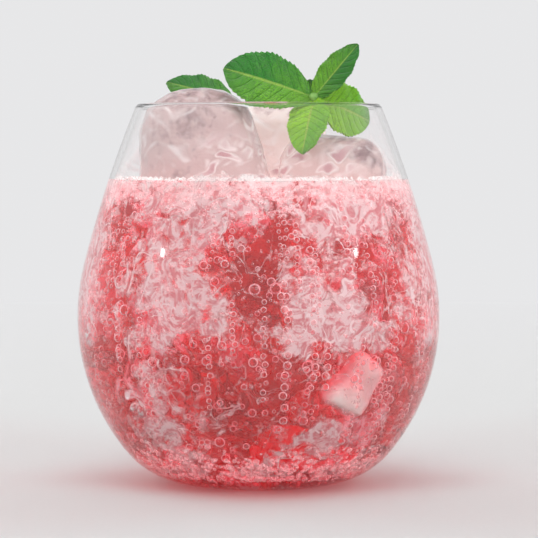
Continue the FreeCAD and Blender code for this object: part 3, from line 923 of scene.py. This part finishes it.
def leaf_material(name, stalk_green, tip_green, vein_green, rib_green, half_light_and_shade, start, full):
    """Mint leaf: two greens from stalk to tip, mottled, with darker side veins and a pale rib, and the
    lower half of the blade shifted towards one green as painted light and shade.
    """
    node, finish = new_material(name)
    place = node("TexCoord").outputs
    veins = node("Group", node_tree=LEAF_VEINS, UV=place["UV"], Pairs=VEIN_PAIRS).outputs
    mottle = node("TexNoise", place["Object"], Scale=260.0, Detail=3.0)
    drift = node("Math", mottle, 0.9, veins["Along"], operation="MULTIPLY_ADD")
    # painted light and shade: the lower half of the blade is made lighter on some leaves and darker on
    # others
    halved = node("Math", veins["Half"], half_light_and_shade, drift, operation="MULTIPLY_ADD")
    net = maths(node, "MULTIPLY", veins["Net"], 0.75)
    side_veins = maths(node, "MULTIPLY", veins["Veins"], 0.22)
    blade = node("MixRGB", node("MapRange", halved, start, full), stalk_green, tip_green)
    blade = node("MixRGB", net, blade, vein_green)
    blade = node("MixRGB", side_veins, blade, vein_green)
    blade = node("MixRGB", veins["Midrib"], blade, rib_green)
    grooves = maths(node, "MAXIMUM", veins["Veins"], net)
    bump = node("Bump", Strength=0.85, Distance=0.00045, Height=grooves, invert=True)
    leaf = node(
        "BsdfPrincipled",
        Base_Color=blade,
        Roughness=0.42,
        Normal=bump,
        Subsurface_Weight=0.15,
        Subsurface_Radius=(0.5, 1.0, 0.2),
        Subsurface_Scale=0.0012,
        Sheen_Weight=0.15,
    )
    return finish(leaf)


LEAF_DEEP = leaf_material(
    "mint_deep",
    stalk_green=(0.21, 0.53, 0.022),
    tip_green=(0.028, 0.25, 0.018),
    vein_green=(0.014, 0.115, 0.012),
    rib_green=(0.29, 0.48, 0.07),
    half_light_and_shade=0.65,
    start=0.55,
    full=1.7,
)
LEAF_BRIGHT = leaf_material(
    "mint_bright",
    stalk_green=(0.40, 0.80, 0.008),
    tip_green=(0.17, 0.54, 0.010),
    vein_green=(0.10, 0.29, 0.012),
    rib_green=(0.42, 0.60, 0.08),
    half_light_and_shade=-0.6,
    start=0.15,
    full=1.35,
)
LEAF_UNDER = leaf_material(
    "mint_underside",
    stalk_green=(0.24, 0.42, 0.14),
    tip_green=(0.19, 0.36, 0.12),
    vein_green=(0.30, 0.48, 0.18),
    rib_green=(0.42, 0.58, 0.26),
    half_light_and_shade=0.0,
    start=0.3,
    full=1.4,
)


def mint_leaf(name, stalk, length, width, widest, fold, droop, turn, rise, twist, skin):
    """A leaf that grows along +X from its stalk, then is rolled, raised and turned to its place."""
    piece = start_piece(
        bpy.ops.mesh.primitive_grid_add, name, x_subdivisions=110, y_subdivisions=40, size=1.0
    )
    flat = np.empty(len(piece.data.vertices) * 3)
    piece.data.vertices.foreach_get("co", flat)
    flat = flat.reshape(-1, 3)
    share = flat[:, 0] + 0.5
    side = flat[:, 1] * 2
    edge = np.abs(side)
    skew = math.log(0.5) / math.log(widest)
    outline = np.abs(np.sin(np.pi * share**skew)) ** BLADE_FULLNESS
    teeth = np.mod(share * TEETH, 1.0) - 0.5
    fringe = TOOTH_SIZE * teeth * np.clip(share * 6 - 0.8, 0, 1)
    ends = STALK_WIDE / 2 * (1 - share) + LEAF_THICK / 2 * share
    half = np.maximum(width / 2 * outline * (1 + fringe * edge**4), ends)
    across = half * side
    tilt = math.tan(math.radians(fold))
    height = -droop * share**2 + tilt * np.abs(across) * (1 - 0.45 * edge)
    phase = (share - VEIN_LEAN * edge**VEIN_CURVE) * VEIN_PAIRS
    swell = np.abs(np.sin(np.pi * phase)) ** 0.6 - 0.6
    room = np.clip(outline, 0, 1) * np.clip(edge * 6, 0, 1) * np.clip(4 - 4 * edge, 0, 1)
    height += PUCKER * swell * room
    height += EDGE_WAVE * np.sin(share * 23 + side * 5) * outline * edge**2
    points = np.column_stack((length * share, across, height))
    turned_by = (
        Matrix.Rotation(math.radians(turn), 3, "Z")
        @ Matrix.Rotation(math.radians(-rise), 3, "Y")
        @ Matrix.Rotation(math.radians(twist), 3, "X")
    )
    points = points @ np.array(turned_by).T + np.array(stalk)
    piece.data.vertices.foreach_set("co", points.ravel())
    piece.data.update()
    piece.data.materials.append(skin)
    piece.data.materials.append(LEAF_UNDER)
    apply_modifier(
        piece, "SOLIDIFY", thickness=LEAF_THICK, offset=-1.0, material_offset=1, use_even_offset=True
    )
    bpy.ops.object.select_all(action="DESELECT")
    piece.select_set(True)
    bpy.ops.object.shade_smooth_by_angle(angle=math.radians(60))
    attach(piece, "root")
    return piece


# Each leaf's length, width, widest place, fold, droop, turn, rise, twist and skin.
SPRIG_LEAVES = {
    "leaf_tall_left": (0.0270, 0.0175, 0.54, 9, 0.0020, 184, 19.5, -66, LEAF_DEEP),
    "leaf_tall_right": (0.0196, 0.0086, 0.46, 12, 0.0010, -7, 51, 78, LEAF_DEEP),
    "leaf_low_right": (0.0192, 0.0165, 0.54, 7, 0.0015, 22, -19.5, 68, LEAF_BRIGHT),
    "leaf_low_front": (0.0186, 0.0124, 0.42, 11, 0.0010, 246, -58, 2, LEAF_BRIGHT),
    "leaf_young_right": (0.0090, 0.0050, 0.45, 24, -0.0005, 40, 30, 40, LEAF_DEEP),
    "leaf_young_left": (0.0060, 0.0040, 0.45, 26, -0.0005, 110, 55, -20, LEAF_DEEP),
}
LOOSE_LEAF = (0.0204, 0.0130, 0.45, 10, 0.0015, 174, 19, -42, LEAF_DEEP)
for name, values in SPRIG_LEAVES.items():
    leaf = mint_leaf(name, SPRIG_JOINT, *values)
    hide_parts("mint_sprig")

loose_leaf = mint_leaf("leaf_loose", LOOSE_STALK, *LOOSE_LEAF)
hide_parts("mint_leaf")


def stem_material():
    """Green stem with fine fibres."""
    node, finish = new_material("mint_stem")
    fibres = node("TexNoise", node("TexCoord").outputs["Object"], Scale=900.0, Detail=3.0)
    tone = node("MixRGB", fibres, (0.10, 0.26, 0.05), (0.26, 0.45, 0.12))
    bump = node("Bump", Strength=0.4, Distance=0.0002, Height=fibres)
    return finish(node("BsdfPrincipled", Base_Color=tone, Roughness=0.4, Normal=bump))


stem = start_piece(
    bpy.ops.mesh.primitive_cylinder_add,
    "mint_stem",
    vertices=20,
    radius=STEM_RADIUS,
    depth=STEM_LONG,
    location=(0, 0, STEM_LONG / 2),
)
bpy.ops.object.transform_apply(location=True, rotation=False, scale=False)
bpy.ops.object.mode_set(mode="EDIT")
for share in (0.12, 0.3, 0.5, 0.7, 0.85):
    bpy.ops.mesh.select_all(action="SELECT")
    bpy.ops.mesh.bisect(plane_co=(0, 0, STEM_LONG * share), plane_no=(0, 0, 1))
bpy.ops.object.mode_set(mode="OBJECT")
for vertex in stem.data.vertices:
    share = vertex.co.z / STEM_LONG
    swell = 1 + 0.30 * math.exp(-((share / 0.12) ** 2)) - 0.12 * math.sin(math.pi * share)
    vertex.co.x *= swell
    vertex.co.y *= swell
stem.rotation_euler = (math.radians(180 + STEM_LEAN), 0, 0)
stem.location = SPRIG_JOINT
bpy.ops.object.transform_apply()
bud = start_piece(
    bpy.ops.mesh.primitive_uv_sphere_add,
    "mint_bud",
    segments=20,
    ring_count=14,
    radius=BUD_RADIUS,
    location=SPRIG_JOINT,
)
bpy.ops.object.transform_apply()
apply_modifier(bud, "DISPLACE", texture=clouds("bud_lumps", 0.0012), strength=0.0006, mid_level=0.6)
STEM_SKIN = stem_material()
for piece in (stem, bud):
    bpy.ops.object.select_all(action="DESELECT")
    piece.select_set(True)
    bpy.context.view_layer.objects.active = piece
    bpy.ops.object.shade_smooth_by_angle(angle=math.radians(50))
    piece.data.materials.append(STEM_SKIN)
    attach(piece, "root")
    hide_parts("mint_sprig")


# ---------------------------------------------------------------- studio
# A plain pale floor that turns up into a backdrop, and soft light from both sides and above.
FLOOR_SIZE = 3.0
FLOOR_BACK = 0.3  # how far behind the object the middle of the floor is
BACKDROP_FROM = 0.5  # edges behind this belong to the backdrop
BACKDROP_HIGH = 2.4
BACKDROP_BEND = 0.9
PALE = (0.80, 0.80, 0.81)
PALE_FROM = 0.25  # from here out, the floor runs over into the even pale colour
PALE_FULL = 0.85
LIT_PLACE = Vector((0, 0, 0.06))  # what the lamps look at

floor = start_piece(bpy.ops.mesh.primitive_plane_add, "floor", size=1.0)
floor.scale = (FLOOR_SIZE * 2, FLOOR_SIZE, 1)
floor.location = (0, FLOOR_BACK, 0)
bpy.ops.object.transform_apply()
bpy.ops.object.mode_set(mode="EDIT")
sweep = bmesh.from_edit_mesh(floor.data)
for edge in sweep.edges:
    edge.select = all(vertex.co.y > BACKDROP_FROM for vertex in edge.verts)
for vertex in sweep.verts:
    vertex.select = vertex.co.y > BACKDROP_FROM
bmesh.update_edit_mesh(floor.data)
bpy.ops.mesh.extrude_region_move(TRANSFORM_OT_translate={"value": (0, 0, BACKDROP_HIGH)})
bpy.ops.mesh.select_all(action="DESELECT")
sweep = bmesh.from_edit_mesh(floor.data)
for edge in sweep.edges:
    edge.select = all(v.co.y > BACKDROP_FROM and abs(v.co.z) < 0.01 for v in edge.verts)
bmesh.update_edit_mesh(floor.data)
bpy.ops.mesh.bevel(offset=BACKDROP_BEND, segments=24, affect="EDGES")
bpy.ops.object.mode_set(mode="OBJECT")
bpy.ops.object.shade_smooth()


def paper_material():
    """Matt paper. Far from the object, what is seen of it is an even pale colour."""
    node, finish = new_material("studio_paper")
    place = node("TexCoord").outputs["Object"]
    grain = node("TexNoise", place, Scale=900.0, Detail=3.0)
    tone = node("MixRGB", grain, (0.67, 0.67, 0.67), (0.71, 0.71, 0.71))
    paper = node("BsdfPrincipled", Base_Color=tone, Roughness=0.8)
    away = node("VectorMath", place, operation="LENGTH").outputs["Value"]
    far = node("MapRange", away, PALE_FROM, PALE_FULL)
    ray = node("LightPath").outputs
    kinds = (ray["Is Camera Ray"], ray["Is Glossy Ray"], ray["Is Transmission Ray"])
    share = maths(node, "MULTIPLY", maths(node, "MAXIMUM", *kinds), far)
    return finish(node("MixShader", share, paper, node("Emission", Color=PALE)))


floor.data.materials.append(paper_material())
floor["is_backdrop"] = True


def soft_lamp(name, place, size, power, seen=False):
    """A flat lamp that looks at the object. Only a lamp that is seen shows in reflections."""
    data = bpy.data.lights.new(name, "AREA")
    data.shape = "RECTANGLE"
    data.size, data.size_y = size
    data.energy = power
    lamp = bpy.data.objects.new(name, data)
    lamp.location = place
    lamp.rotation_euler = (LIT_PLACE - Vector(place)).to_track_quat("-Z", "Y").to_euler()
    lamp.visible_glossy = seen
    lamp.visible_transmission = seen
    bpy.context.scene.collection.objects.link(lamp)


soft_lamp("side_left", (-1.25, 0.95, 0.75), (1.0, 1.3), 9)
soft_lamp("side_right", (1.30, 0.90, 0.70), (1.0, 1.3), 9)
soft_lamp("front_left", (-1.00, -1.20, 0.42), (1.2, 1.0), 27)
soft_lamp("front_right", (1.00, -1.20, 0.42), (1.2, 1.0), 30)
soft_lamp("high", (-0.10, -0.50, 1.45), (1.0, 0.8), 8)
soft_lamp("spark_left", (-1.02, -0.40, 0.50), (0.05, 0.02), 0.04, seen=True)
soft_lamp("spark_right", (1.04, -0.38, 0.50), (0.05, 0.02), 0.04, seen=True)

# The world lights the object from all round, and is seen as an even pale backdrop.
world = bpy.data.worlds.new("studio")
bpy.context.scene.world = world
world.use_nodes = True
world.node_tree.nodes.clear()
node = node_maker(world.node_tree)
light = node("Background", (0.92, 0.93, 0.95), 0.5)
ray = node("LightPath").outputs
seen = maths(node, "MAXIMUM", ray["Is Camera Ray"], ray["Is Transmission Ray"])
node("OutputWorld", node("MixShader", seen, light, node("Background", PALE)))

CAMERA_BACK = 0.700
CAMERA_HEIGHT = 0.097
CAMERA_TILT = 2.78  # degrees down
camera_data = bpy.data.cameras.new("camera")
camera_data.lens = 160.0
camera_data.sensor_width = 36.0
camera_data.shift_x = 0.0195
camera_data.shift_y = -0.0043
camera_data.clip_start = 0.01
camera = bpy.data.objects.new("camera", camera_data)
camera.location = (0, -CAMERA_BACK, CAMERA_HEIGHT)
camera.rotation_euler = (math.radians(90 - CAMERA_TILT), 0, 0)
bpy.context.scene.collection.objects.link(camera)
bpy.context.scene.camera = camera

bpy.context.scene.view_settings.view_transform = "Standard"
bpy.context.scene.cycles.transmission_bounces = 24
bpy.context.scene.cycles.transparent_max_bounces = 64
bpy.context.scene.cycles.max_bounces = 24

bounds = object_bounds()
[[list(corner) for corner in box] for box in (cad_bounds, bounds)]
